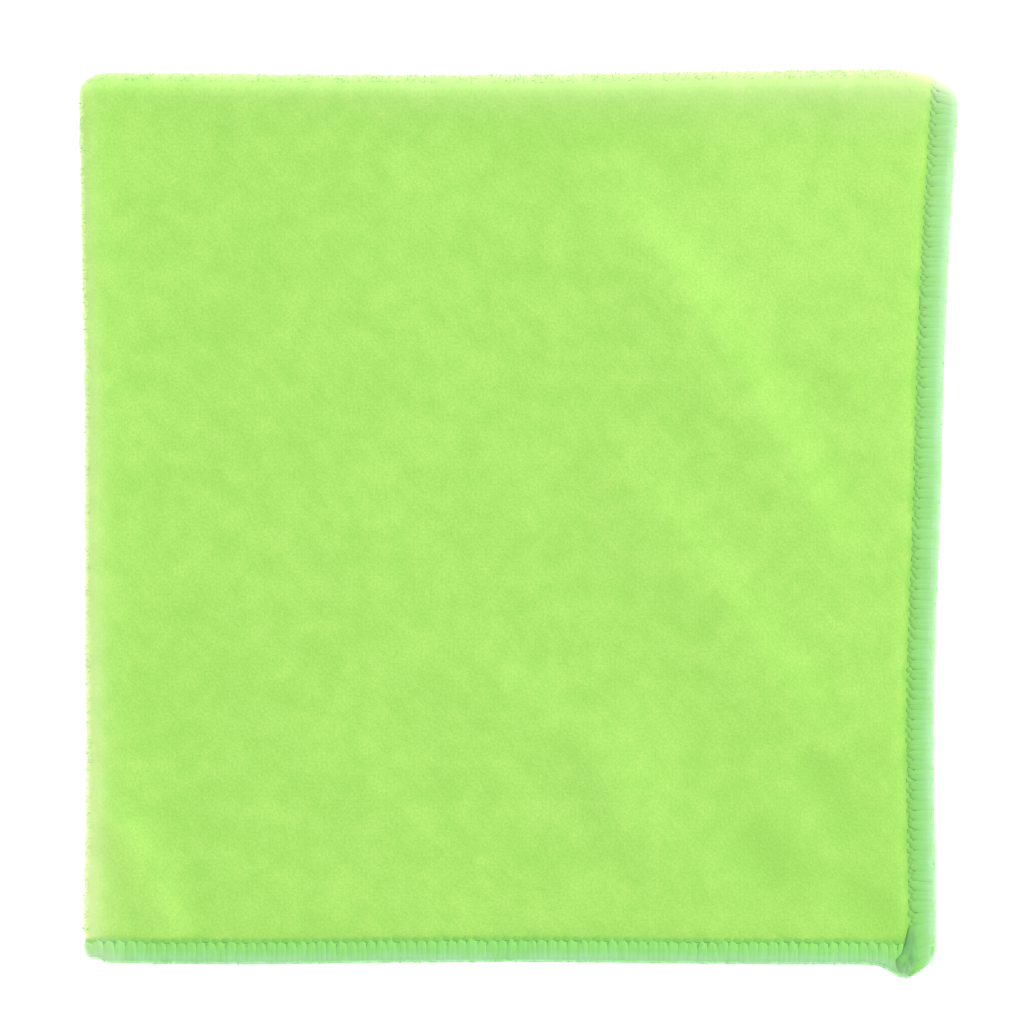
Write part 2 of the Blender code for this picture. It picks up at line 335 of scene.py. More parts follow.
def strays(draw, size, scale=1.0, most=2.0):
    """Random values about 0, as far apart as the scale, and none of them beyond the most."""
    return draw.normal(scale=scale, size=size).clip(-most, most)


def unit(vectors):
    return vectors / np.linalg.norm(vectors, axis=-1, keepdims=True)


# ---------------- the folded sheet

def side_line(marks, along):
    """How far out a side lies, on one smooth line through its marks."""
    spots, outs = np.array(marks).T * MM
    slopes = np.gradient(outs, spots)
    along = np.clip(along, spots[0], spots[-1])
    first = np.clip(np.searchsorted(spots, along, side="right") - 1, 0, len(spots) - 2)
    span = spots[first + 1] - spots[first]
    t = (along - spots[first]) / span
    ease = t * t * (3 - 2 * t)
    lean = t * (1 - t) ** 2 * slopes[first] - t * t * (1 - t) * slopes[first + 1]
    return outs[first] * (1 - ease) + outs[first + 1] * ease + span * lean


def corner_cut(distance, size, other_size):
    """How far a round corner draws an edge in, at a distance along it from the corner."""
    inward = np.clip(1 - distance / size, 0, 1)
    return CORNER_SHARE * other_size * inward ** 2


def left_line(y, top, foot):
    """Where the left side lies at a height y between the top and the foot."""
    cut = corner_cut(top - y, TOP_LEFT.depth, TOP_LEFT.length)
    return side_line(LEFT_SIDE, y) + cut + corner_cut(y - foot, FOOT_LEFT.depth, FOOT_LEFT.length)


def right_line(y, top, foot):
    """Where the right side lies at a height y between the top and the foot."""
    cut = corner_cut(top - y, TOP_RIGHT.depth, TOP_RIGHT.length)
    cut = cut + corner_cut(y - foot, FOOT_RIGHT.depth, FOOT_RIGHT.length)
    return side_line(RIGHT_SIDE, y) - cut


def end_lines(x, left, right, ear_share):
    """Where the top and the foot lie at a place x between the left and right sides."""
    top_cut = corner_cut(x - left, TOP_LEFT.length, TOP_LEFT.depth)
    top_cut = top_cut + corner_cut(right - x, TOP_RIGHT.length, TOP_RIGHT.depth)
    foot_cut = corner_cut(x - left, FOOT_LEFT.length, FOOT_LEFT.depth)
    foot_cut = foot_cut + corner_cut(right - x, FOOT_RIGHT.length, FOOT_RIGHT.depth)
    ear = ear_share * EAR_REACH * np.exp(-((x - EAR_PLACE) / EAR_WIDTH) ** 2)
    return side_line(TOP_SIDE, x) - top_cut, side_line(FOOT_SIDE, x) + foot_cut - ear


def spread(run, *stops):
    """The place of a grid line between the fold, the two ends of the middle and the edge."""
    place = stops[0]
    for step, (start, end) in enumerate(zip(stops, stops[1:])):
        place = place + np.clip(run - step, 0, 1) * (end - start)
    return place


def belt_share(run):
    """How far a grid line is through a belt: 0 all over the middle, 1 on the outline."""
    return np.clip(1 - run, 0, 1) + np.clip(run - 2, 0, 1)


def ridge_height(ridge, x, y):
    """Height of one soft ridge, which fades out across its width and at both its ends."""
    start = np.array((ridge.x_from, ridge.y_from)) * MM
    way = np.array((ridge.x_to, ridge.y_to)) * MM - start
    length = np.hypot(*way)
    along = ((x - start[0]) * way[0] + (y - start[1]) * way[1]) / length ** 2
    across = ((y - start[1]) * way[0] - (x - start[0]) * way[1]) / length
    across = across - ridge.bend * MM * 4 * along * (1 - along)
    width = np.where(across > 0, ridge.above, ridge.below) * MM
    fade = np.clip(np.minimum(along, 1 - along) / RIDGE_TAPER, 0, 1)
    fade = fade * fade * (3 - 2 * fade)
    return ridge.height * MM * np.exp(-(across / width) ** 2) * fade


def wave_height(waves, x, y):
    """Height of waves that run in many directions and never repeat on the cloth."""
    draw = np.random.default_rng(waves.seed)
    height = 0
    for _ in range(WAVE_DIRECTIONS):
        angle, start = draw.uniform(0, 2 * np.pi, 2)
        pace = 2 * np.pi / (waves.length * MM * draw.uniform(*WAVE_LENGTHS))
        height = height + np.sin(pace * (x * np.cos(angle) + y * np.sin(angle)) + start)
    return waves.height * MM * height * np.sqrt(2 / WAVE_DIRECTIONS)


def relief(x, y, from_left, from_top, from_right, from_foot):
    """How far the upper face stands above or below its even height."""
    height = sum(ridge_height(ridge, x, y) for ridge in RIDGES)
    height = height + sum(wave_height(waves, x, y) for waves in WAVES)
    for distance in (from_left, from_top):
        height = height + FOLD_SPRING * np.exp(-(distance / FOLD_SPRING_WIDTH) ** 2)
    for distance in (from_right, from_foot):
        height = height - EDGE_PRESS * np.exp(-(distance / EDGE_PRESS_WIDTH) ** 2)
    return height


def fold(first_way, second_way):
    """Where places of the flat sheet lie once it is folded. The last axis is x, y and z."""
    first_turn = np.clip(first_way, -FOLD_END, FOLD_END) * QUARTER_TURN
    second_turn = np.clip(second_way, -FOLD_END, FOLD_END) * QUARTER_TURN
    first_run = np.clip(np.abs(first_way) - FOLD_END, 0, None)
    second_run = np.clip(np.abs(second_way) - FOLD_END, 0, None)

    lift = FIRST_RADIUS * np.sin(first_turn)
    radius = SECOND_RADIUS + lift
    outer = 0.5 + 0.5 * np.sin(first_turn)
    upper = 0.5 + 0.5 * np.sin(second_turn)
    ear_share = LOWER_EAR_SHARE + (1 - LOWER_EAR_SHARE) * upper

    even_top, even_foot = TOP_SIDE[0].out * MM, FOOT_SIDE[0].out * MM
    drop = TOP_FOLD_REACH * (1 - np.cos(second_turn))
    even_y = spread(second_run, even_top - drop, REST_TOP, REST_FOOT, even_foot)
    left = left_line(even_y, even_top, even_foot)
    even_y = spread(second_run, even_top - outer * drop, REST_TOP, REST_FOOT, even_foot)
    right = right_line(even_y, even_top, even_foot)
    fold_x = left + CLOTH_THICK / 2 + FIRST_RADIUS
    even_x = spread(first_run, fold_x, REST_LEFT, REST_RIGHT, right)
    setback_x = SETBACK_RIGHT * outer * np.clip(first_run - 2, 0, 1)
    x = even_x - FIRST_RADIUS * np.cos(first_turn) - setback_x

    top, foot = end_lines(even_x, fold_x, right, ear_share)
    fold_y = top - TOP_FOLD_REACH
    edge_y = foot + SETBACK_FOOT * outer
    y = spread(second_run, fold_y, REST_TOP, REST_FOOT, edge_y) + radius * np.cos(second_turn)

    height = relief(even_x, y, even_x - left, top - y, right - even_x, y - foot)
    even_z = STACK_MIDDLE + radius * np.sin(second_turn)
    lift_share = np.maximum(belt_share(first_run), belt_share(second_run))
    z = LOWEST_MIDDLE + (even_z - LOWEST_MIDDLE) * (1 + height / STACK_SPAN)
    z = z + RIM_LIFT * lift_share ** 2
    return np.stack(np.broadcast_arrays(x, y, z), axis=-1) + FOOTPRINT_SHIFT


def sheet_frame(first_way, second_way):
    """A place on the folded sheet, its directions along the two ways, and its outer face's."""
    step = 0.004
    first = np.clip(first_way, step - FREE_EDGE, FREE_EDGE - step)
    second = np.clip(second_way, step - FREE_EDGE, FREE_EDGE - step)
    along_first = fold(first + step, second) - fold(first - step, second)
    along_second = fold(first, second + step) - fold(first, second - step)
    face = np.cross(along_second, along_first)
    return fold(first_way, second_way), (unit(along_first), unit(along_second)), unit(face)


# ---------------- the free edges

# A free edge is crossed by the first way (0) or the second (1), and ends its plus or minus side.
Edge = namedtuple("Edge", "across side")
RIGHT_EDGES = (Edge(across=0, side=1), Edge(across=0, side=-1))
FOOT_EDGES = (Edge(across=1, side=1), Edge(across=1, side=-1))


def edge_ways(edge, along, across):
    """The first and the second way of a place beside a free edge."""
    return (across, along) if edge.across == 0 else (along, across)


Border = namedtuple("Border", "ways lengths belts reaches")
BORDER_STEPS = 1600


def border(edge, ways):
    """A free edge at ways along it: lengths, widths of the belt beside it, the sewing's reach.

    The reach is a share of the needle line's distance. The needle line runs straight on where
    the edge bulges out or a corner is rounded.
    """
    rim = fold(*edge_ways(edge, ways, np.full_like(ways, FREE_EDGE * edge.side)))
    belt = fold(*edge_ways(edge, ways, np.full_like(ways, EDGE_BELT * edge.side)))
    steps = np.linalg.norm(np.diff(rim, axis=0), axis=1)
    lengths = np.concatenate(((0.0,), np.cumsum(steps)))
    x, y = (rim - FOOTPRINT_SHIFT)[:, :2].T
    if edge.across == 0:
        row, beyond = RIGHT_ROW, x - side_line(RIGHT_SIDE, y)
    else:
        row, beyond = FOOT_ROW, side_line(FOOT_SIDE, x) - y
    reaches = np.maximum(row.reach + beyond / NEEDLE_LINE, LEAST_REACH)
    return Border(ways, lengths, np.linalg.norm(rim - belt, axis=1), reaches)


def whole_border(edge):
    """A free edge from end to end, at ways close enough together to read between."""
    return border(edge, np.linspace(-FREE_EDGE, FREE_EDGE, BORDER_STEPS + 1))


def edge_frame(edge, run, along, inward):
    """Places in from a free edge, with their directions outwards, along it and off the face."""
    way_along = np.interp(along, run.lengths, run.ways)
    belt = np.interp(along, run.lengths, run.belts)
    way_across = edge.side * (FREE_EDGE - np.maximum(inward, 0) / belt)
    place, directions, face = sheet_frame(*edge_ways(edge, way_along, way_across))
    outward = directions[edge.across] * edge.side
    place = place + outward * np.maximum(-inward, 0)[:, None]
    return place, outward, directions[1 - edge.across], face


def lay_on_edge(edge, run, along, inward, rise):
    """Points a length along a free edge, in from it, and above the middle of the cloth."""
    place, _, _, face = edge_frame(edge, run, along, inward)
    return place + face * rise[:, None]


# ---------------- mesh helpers

def points_of(mesh):
    points = np.empty(len(mesh.vertices) * 3)
    mesh.vertices.foreach_get("co", points)
    return points.reshape(-1, 3)


def move_points(mesh, points):
    mesh.vertices.foreach_set("co", np.asarray(points).ravel())
    mesh.update()


def write_values(mesh, name, values):
    """A number for each point, which the piece's own material reads by its name."""
    mesh.attributes.new(name, "FLOAT", "POINT").data.foreach_set("value", values)


def add_piece(name, bm):
    """A new object in the scene, with the bmesh as its mesh."""
    mesh = bpy.data.meshes.new(name)
    bm.to_mesh(mesh)
    bm.free()
    piece = bpy.data.objects.new(name, mesh)
    bpy.context.scene.collection.objects.link(piece)
    return piece


def finish_piece(piece, material):
    piece.data.materials.clear()
    piece.data.materials.append(material)
    piece.data.shade_smooth()
    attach(piece, "root")


def apply_modifiers(piece):
    solid = piece.evaluated_get(bpy.context.evaluated_depsgraph_get())
    mesh = bpy.data.meshes.new_from_object(solid)
    mesh.name = piece.name
    piece.modifiers.clear()
    piece.data = mesh


# ---------------- materials

class Wire:
    """One output of a material's nodes. Python's operators add the Math nodes for it."""

    def __init__(self, tree, socket):
        self.tree = tree
        self.socket = socket

    def maths(self, operation, *values):
        node = self.tree.nodes.new("ShaderNodeMath")
        node.operation = operation
        for place, value in enumerate(values):
            join(self.tree, value, node.inputs[place])
        return Wire(self.tree, node.outputs[0])

    def __add__(self, other):
        return self.maths("ADD", self, other)

    __radd__ = __add__

    def __sub__(self, other):
        return self.maths("SUBTRACT", self, other)

    def __rsub__(self, other):
        return self.maths("SUBTRACT", other, self)

    def __mul__(self, other):
        return self.maths("MULTIPLY", self, other)


def join(tree, value, socket):
    """Links a wire to a socket, or sets the socket to a plain value."""
    if isinstance(value, Wire):
        tree.links.new(value.socket, socket)
    else:
        socket.default_value = value


class Finish:
    """A material in the making, with one Principled shader."""

    def __init__(self, name):
        self.material = bpy.data.materials.new(name)
        self.material.use_nodes = True
        self.tree = self.material.node_tree
        self.shader = self.tree.nodes["Principled BSDF"]

    def node(self, kind, settings=None, sockets=None, output=0):
        """Any node: its type, its settings, the values or links of its sockets, its output."""
        node = self.tree.nodes.new(kind)
        for name, value in (settings or {}).items():
            setattr(node, name, value)
        for name, value in (sockets or {}).items():
            join(self.tree, value, node.inputs[name])
        return Wire(self.tree, node.outputs[output])

    def number(self, name):
        """A number that the piece carries for each of its points."""
        return self.node("ShaderNodeAttribute", {"attribute_name": name}, output="Fac")

    def scaled(self, place, scale):
        sockets = {"Vector": place, "Scale": scale}
        return self.node("ShaderNodeVectorMath", {"operation": "SCALE"}, sockets)

    def flat_millimetres(self):
        """Where a point was on the flat sheet, in millimetres."""
        return self.scaled(self.node("ShaderNodeUVMap", {"uv_map": "flat"}), FLAT_SPAN / MM)

    def turned(self, place, degrees, stretch):
        """A place turned in the plane and stretched, for a pattern that runs one way."""
        sockets = {"Vector": place, "Angle": np.radians(degrees)}
        turned = self.node("ShaderNodeVectorRotate", {"rotation_type": "Z_AXIS"}, sockets)
        sockets = {0: turned, 1: (*stretch, 1)}
        return self.node("ShaderNodeVectorMath", {"operation": "MULTIPLY"}, sockets)

    def noise(self, place, size, detail=2.0, roughness=0.5):
        """Soft noise whose patches are about so many millimetres across."""
        sockets = {
            "Vector": place, "Scale": 1 / size, "Detail": detail, "Roughness": roughness,
        }
        return self.node("ShaderNodeTexNoise", {"noise_dimensions": "3D"}, sockets)

    def share(self, value, low, high):
        """0 where a value is at the low end or below, 1 at the high end or above."""
        sockets = {"Value": value, "From Min": low, "From Max": high}
        settings = {"interpolation_type": "SMOOTHSTEP"}
        return self.node("ShaderNodeMapRange", settings, sockets)

    def mix(self, share, first, second):
        """A colour between two, by a share of the second."""
        first, second = (
            colour if isinstance(colour, Wire) else (*colour, 1.0) for colour in (first, second)
        )
        settings = {"data_type": "RGBA", "clamp_factor": True}
        sockets = {"Factor": share, 6: first, 7: second}
        return self.node("ShaderNodeMix", settings, sockets, output=2)

    def bump(self, height, depth):
        sockets = {"Height": height, "Distance": depth, "Strength": 1.0}
        return self.node("ShaderNodeBump", None, sockets)

    def shine(self, **sockets):
        """Sets or links the Principled shader's sockets."""
        for name, value in sockets.items():
            join(self.tree, value, self.shader.inputs[name.replace("_", " ")])
        return self.material


FLAT_SPAN = 320.0 * MM                  # what one unit of the flat sheet's UV map stands for

# How the pile is brushed: soft noises over the sheet, each turned by some degrees and stretched,
# the size of its patches in millimetres, its detail and its weight. They lie under one another.
Nap = namedtuple("Nap", "turn stretch size detail weight")
BRUSHED_SIZE = 3.8
NAPS = table(
    Nap,
    (4, (0.7, 1.2), 10.0, 1.0, 0.26),
    (0, (1.0, 1.0), BRUSHED_SIZE, 2.0, 0.44),
    (48, (0.35, 2.2), 2.6, 2.0, 0.18),
    (-40, (0.4, 2.0), 2.8, 2.0, 0.12),
)
FIBRE_SPOTS = 0.42                      # millimetres across

# Over which values of its noises the pile goes from deep to light, and from lit to shadow by its
# fibres and its tufts. What its patches of painted light and shade add to the first, and what its
# relief is made of.
SHADE_SPAN = (0.30, 0.70)
GRAIN_SPAN = (0.40, 0.60)
TUFT_SPAN = (0.25, 0.85)
PAINTED_LIGHT_WEIGHT = 0.22
NAP_RELIEF, TUFT_RELIEF, FIBRE_RELIEF = 1.15, 0.4, 0.6

# Painted shade: the needle line's groove on its inner and on its outer side, and where the cloth
# goes
# under the threads: millimetres from the edge, from where it starts to where it is full.
GROOVE_INNER_SIDE = (5.6, 4.6)
GROOVE_OUTER_SIDE = (3.4, 4.0)
UNDER_THREADS = (4.9, 4.3)
LINE_WANDER = 1.2                       # millimetres by which these lines wander
EDGE_SHARE, EDGE_SHARE_LOST = 0.8, 0.6  # of the edge colour under the threads, and on the fold


def terry_finish(settings):
    """Lime green microfibre terry: short tufts, brushed this way and that, with painted light and
    shade.
    """
    finish = Finish("microfibre_terry")
    place = finish.flat_millimetres()
    inward, top_fold_highlight = finish.number("inward"), finish.number("top_fold_highlight")

    nap = sum(
        finish.noise(finish.turned(place, nap.turn, nap.stretch), nap.size, nap.detail) * nap.weight
        for nap in NAPS
    )
    brushed = finish.noise(place, BRUSHED_SIZE)
    fibres = finish.noise(place, FIBRE_SPOTS, detail=3.0, roughness=0.8)
    kind = {"voronoi_dimensions": "3D", "feature": "SMOOTH_F1"}
    sockets = {"Scale": MM / settings.tuft_pitch, "Smoothness": 0.8, "Randomness": 0.6}
    tufts = finish.node("ShaderNodeTexVoronoi", kind, {"Vector": place, **sockets})
    # The patches' painted light and shade push the pile towards its light or its deep colour.
    shade = finish.share(nap + finish.number("painted_light_and_shade") * PAINTED_LIGHT_WEIGHT, *SHADE_SPAN)
    between = finish.share(tufts, *TUFT_SPAN)

    body = finish.mix(shade, settings.deep_colour, settings.light_colour)
    grain = finish.share(fibres, *GRAIN_SPAN)
    body = finish.mix(grain * settings.grain, body, settings.shadow_colour)
    body = finish.mix(between * settings.tuft_shadow, body, settings.shadow_colour)
    uneven = 0.75 + brushed * 0.5
    # Painted highlights on the upper fold and on the left fold, uneven with the noise.
    body = finish.mix(top_fold_highlight * uneven, body, settings.top_fold_highlight_colour)
    body = finish.mix(finish.number("pale") * uneven, body, settings.painted_highlight_colour)

    # Painted shade: the cloth is darker where the needle line pulls the tufts down and under the
    # threads, less so on the upper fold's painted highlight.
    wobble = inward + (brushed - 0.5) * LINE_WANDER
    groove = finish.share(wobble, *GROOVE_INNER_SIDE) * finish.share(wobble, *GROOVE_OUTER_SIDE)
    under = finish.share(inward, *UNDER_THREADS)
    under = under * (EDGE_SHARE - top_fold_highlight * EDGE_SHARE_LOST)
    body = finish.mix(under, body, settings.edge_colour)
    groove = groove * (1 - top_fold_highlight) * settings.groove_shadow
    body = finish.mix(groove, body, settings.shadow_colour)

    height = nap * NAP_RELIEF + (1 - tufts) * TUFT_RELIEF + fibres * FIBRE_RELIEF
    normal = finish.bump(height, settings.pile_depth)
    return finish.shine(
        Base_Color=body, Roughness=0.96, Normal=normal, Specular_IOR_Level=0.1,
        Sheen_Weight=settings.sheen, Sheen_Roughness=0.45, Sheen_Tint=(0.95, 1.0, 0.85, 1.0),
    )


def fuzz_finish(settings):
    """The loose fibres on the folds, paler than the cloth since the light comes through them."""
    finish = Finish("pile_fuzz")
    return finish.shine(
        Base_Color=(*settings.fuzz_colour, 1.0), Roughness=0.9, Specular_IOR_Level=0.1,
        Sheen_Weight=0.4, Sheen_Roughness=0.4,
    )


# Over how many millimetres from the rim the threads' colours change, and the size of the spots.
RIM_TO_MIDDLE = (0.2, 2.4)
MIDDLE_TO_BITES = (2.0, 4.2)
THREAD_SPOTS = 0.28
THREAD_PATCHES = 3.0
PATCH_SPAN = (0.4, 0.75)                # values of the noise over which a patch sets in
PATCH_SHARE = 0.5                       # of its colour
THREAD_BUMP = 0.03 * MM


def thread_finish(name, settings, inner, middle, outer):
    """Textured thread, darker in the bites with painted shade, and paler on the rim of the edge."""
    finish = Finish(name)
    place = finish.scaled(finish.node("ShaderNodeTexCoord", output="Object"), 1 / MM)
    inward = finish.number("inward")
    spots = finish.noise(place, THREAD_SPOTS, roughness=0.7)
    patches = finish.noise(place, THREAD_PATCHES, detail=1.0)
    colour = finish.mix(finish.share(inward, *RIM_TO_MIDDLE), outer, middle)
    # Painted shade: the threads darken towards their bites.
    colour = finish.mix(finish.share(inward, *MIDDLE_TO_BITES), colour, inner)
    patch = finish.share(patches, *PATCH_SPAN) * PATCH_SHARE
    colour = finish.mix(patch, colour, settings.patch_colour)
    # Painted highlight where the threads round the fold, fading along the row.
    colour = finish.mix(finish.number("pale"), colour, settings.painted_highlight_colour)
    normal = finish.bump(spots, THREAD_BUMP)
    return finish.shine(
        Base_Color=colour, Roughness=0.85, Normal=normal, Specular_IOR_Level=0.25,
        Sheen_Weight=0.35, Sheen_Roughness=0.4, Sheen_Tint=(0.85, 1.0, 0.85, 1.0),
    )


# ---------------- settings

COLOUR = {"subtype": "COLOR", "size": 3, "min": 0.0, "max": 1.0}
SHARE = {"subtype": "FACTOR", "min": 0.0, "max": 1.0}


class ClothSettings(bpy.types.PropertyGroup):
    light_colour: FloatVectorProperty(
        name="Light colour", description="Colour where the pile is brushed towards the light",
        default=linear(190, 244, 120), **COLOUR,
    )
    deep_colour: FloatVectorProperty(
        name="Deep colour", description="Colour where the pile is brushed away from the light",
        default=linear(172, 234, 107), **COLOUR,
    )
    shadow_colour: FloatVectorProperty(
        name="Shadow colour", description="Colour between the tufts and along the needle line",
        default=linear(128, 206, 80), **COLOUR,
    )
    # Painted shade under the threads.
    edge_colour: FloatVectorProperty(
        name="Edge colour", description="Colour of the cloth under the edge's threads",
        default=linear(158, 232, 132), **COLOUR,
    )
    # Painted highlight on the left fold.
    painted_highlight_colour: FloatVectorProperty(
        name="Pale colour", description="Colour of the pile where it opens on the left fold",
        default=linear(230, 255, 174), **COLOUR,
    )
    # Painted highlight on the upper fold.
    top_fold_highlight_colour: FloatVectorProperty(
        name="Crest colour", description="Colour of the pile where it opens on the upper fold",
        default=linear(210, 243, 161), **COLOUR,
    )
    fuzz_colour: FloatVectorProperty(
        name="Fuzz colour", description="Colour of the loose fibres on the folds",
        default=linear(206, 241, 186), **COLOUR,
    )
    grain: FloatProperty(
        name="Grain", description="How much single fibres vary in shade",
        default=0.26, **SHARE,
    )
    tuft_pitch: FloatProperty(
        name="Tuft pitch", description="Distance from one tuft to the next",
        unit="LENGTH", min=0.2 * MM, max=5 * MM, default=0.68 * MM,
    )
    tuft_shadow: FloatProperty(
        name="Tuft shadow", description="How dark it is between the tufts",
        default=0.06, **SHARE,
    )
    groove_shadow: FloatProperty(
        name="Groove shadow", description="How dark the needle line is",
        default=0.38, **SHARE,
    )
    pile_depth: FloatProperty(
        name="Pile depth", description="Height of the pile's relief",
        unit="LENGTH", min=0.0, max=2 * MM, default=0.09 * MM,
    )
    sheen: FloatProperty(
        name="Sheen", description="Strength of the pale sheen of the fibres at a low angle",
        default=0.5, **SHARE,
    )


class SewingSettings(bpy.types.PropertyGroup):
    pitch: FloatProperty(
        name="Stitch pitch", description="Distance from one stitch to the next",
        unit="LENGTH", min=0.5 * MM, max=5 * MM, default=1.70 * MM,
    )
    # Painted shade of the bites.
    bite_shade_colour: FloatVectorProperty(
        name="Inner colour", description="Colour of the threads in their bites",
        default=linear(147, 222, 109), **COLOUR,
    )
    middle_colour: FloatVectorProperty(
        name="Thread colour", description="Colour of the threads over the edge",
        default=linear(149, 225, 126), **COLOUR,
    )
    outer_colour: FloatVectorProperty(
        name="Outer colour", description="Colour of the threads on the rim of the edge",
        default=linear(167, 228, 164), **COLOUR,
    )
    # Painted shade of the needle thread's dips along the needle line.
    needle_shade_colour: FloatVectorProperty(
        name="Needle thread colour", description="Colour of the needle thread in its dips",
        default=linear(138, 212, 98), **COLOUR,
    )
    patch_colour: FloatVectorProperty(
        name="Patch colour", description="Colour of the patches where the cloth's green shows",
        default=linear(146, 221, 114), **COLOUR,
    )
    # Painted highlight on the threads that go round the fold.
    painted_highlight_colour: FloatVectorProperty(
        name="Pale colour", description="Colour of the threads that go round the fold",
        default=linear(240, 254, 214), **COLOUR,
    )
    tail_colour: FloatVectorProperty(
        name="Tail colour", description="Colour of the thread chain at the corner",
        default=linear(124, 192, 112), **COLOUR,
    )


class StageSettings(bpy.types.PropertyGroup):
    lens: FloatProperty(
        name="Lens", description="Focal length of the camera, in millimetres",
        min=20.0, max=400.0, default=200.0,
    )
    lamp_power: FloatProperty(
        name="Lamp power", description="Power of the key light",
        unit="POWER", min=0.0, max=500.0, default=41.0,
    )
    daylight: FloatProperty(
        name="Daylight", description="Strength of the even light from all round",
        min=0.0, max=5.0, default=0.54,
    )
    floor_glow: FloatProperty(
        name="Floor glow", description="How much the white floor lights itself",
        min=0.0, max=5.0, default=1.3,
    )


# ---------------- pieces

def grid_lines():
    """The fine sheet's lines in one direction: each one's way, and its inset from the edge."""
    ways, insets = [], []
    for side, cells, lines in (
        (-1, HIDDEN_CELLS, HIDDEN_EDGE_LINES),
        (1, SHOWN_CELLS, EDGE_LINES),
    ):
        stops = np.concatenate((
            np.linspace(0, 1, cells.turn + 1)[1:],
            np.linspace(1, 2, cells.belt + 1)[1:],
            np.linspace(2, 3, cells.middle + 1)[1:],
        ))
        half = list(side * stops) + [side * FREE_EDGE] * len(lines)
        inset = [np.nan] * len(stops) + [line * MM for line in lines]
        ways += half[::-1] if side < 0 else [0.0] + half
        insets += inset[::-1] if side < 0 else [np.nan] + inset
    return np.array(ways), np.array(insets)


def settle_lines(ways, insets, across, others):
    """Ways of all the grid's crossings, and how far in from the free edge they lie.

    The lines by a free edge keep their distance from it. Others are the ways of the lines that
    cross, at the minus edge and at the plus one. The distance inwards is one that puts the
    needle line at the same value everywhere.
    """
    settled = np.broadcast_to(ways[:, None], (len(ways), len(ways))).copy()
    inward = np.empty(settled.shape)
    for side, other_ways in zip((-1, 1), others):
        run = border(Edge(across=across, side=side), other_ways)
        half = ways > 0 if side > 0 else ways <= 0
        beside = half & ~np.isnan(insets)
        inset = insets[beside][:, None]
        spare = (run.belts - NARROWEST_BELT) * (inset / NARROWEST_BELT) ** EDGE_LINE_HOLD
        settled[beside] = side * (FREE_EDGE - (inset + spare) / run.belts)
        inward[half] = (FREE_EDGE - np.abs(settled[half])) * run.belts / run.reaches
    return settled, inward


def flat_places(ways, stops):
    """How far places lie from the fold on the flat sheet, with its sign."""
    return np.sign(ways) * np.interp(np.abs(ways), WAY_STOPS, stops)


def ways_to(places, stops):
    """The ways of places on the flat sheet."""
    return np.sign(places) * np.interp(np.abs(places), stops, WAY_STOPS)


def painted_light_and_shade(x, y):
    """The painted light (above 0) and painted shade (below 0) that the patches give the upper face.
    """
    shade = 0
    for patch in PATCHES:
        across = (x - patch.x * MM) / (patch.wide * MM)
        down = (y - patch.y * MM) / (patch.high * MM)
        shade = shade + patch.shade * np.exp(-across ** 2 - down ** 2)
    return shade


def fold_highlight(place, other, pale):
    """How strong the painted highlight is by one fold, from 0 to 1: its distance, and the place
    along the fold.
    """
    along = np.abs(other) / FLAT_HALF
    most = pale.start + (pale.end - pale.start) * along
    reach = (pale.reach_start + (pale.reach_end - pale.reach_start) * along) * MM
    return np.clip(most * np.exp(-np.abs(place) / reach), 0, 1)


def chart_flat(mesh, flat):
    """Gives the folded sheet a UV map in which it lies flat."""
    corners = np.empty(len(mesh.loops), dtype=np.int32)
    mesh.loops.foreach_get("vertex_index", corners)
    chart = mesh.uv_layers.new(name="flat")
    chart.uv.foreach_set("vector", (flat / FLAT_SPAN + 0.5)[corners].ravel())


def thicken(cloth, inward):
    """Gives the sheet its thickness, which is squeezed under the sewing."""
    spots, shares = np.array(SEAM_SQUEEZE).T
    shares = np.interp(inward / MM, spots, shares).round(2)
    group = cloth.vertex_groups.new(name="fullness")
    for share in np.unique(shares):
        group.add(np.flatnonzero(shares == share).tolist(), share, "REPLACE")
    thickness = cloth.modifiers.new("thickness", "SOLIDIFY")
    thickness.thickness = CLOTH_THICK
    thickness.offset = 0.0
    thickness.use_even_offset = True
    thickness.use_rim = True
    thickness.vertex_group = group.name


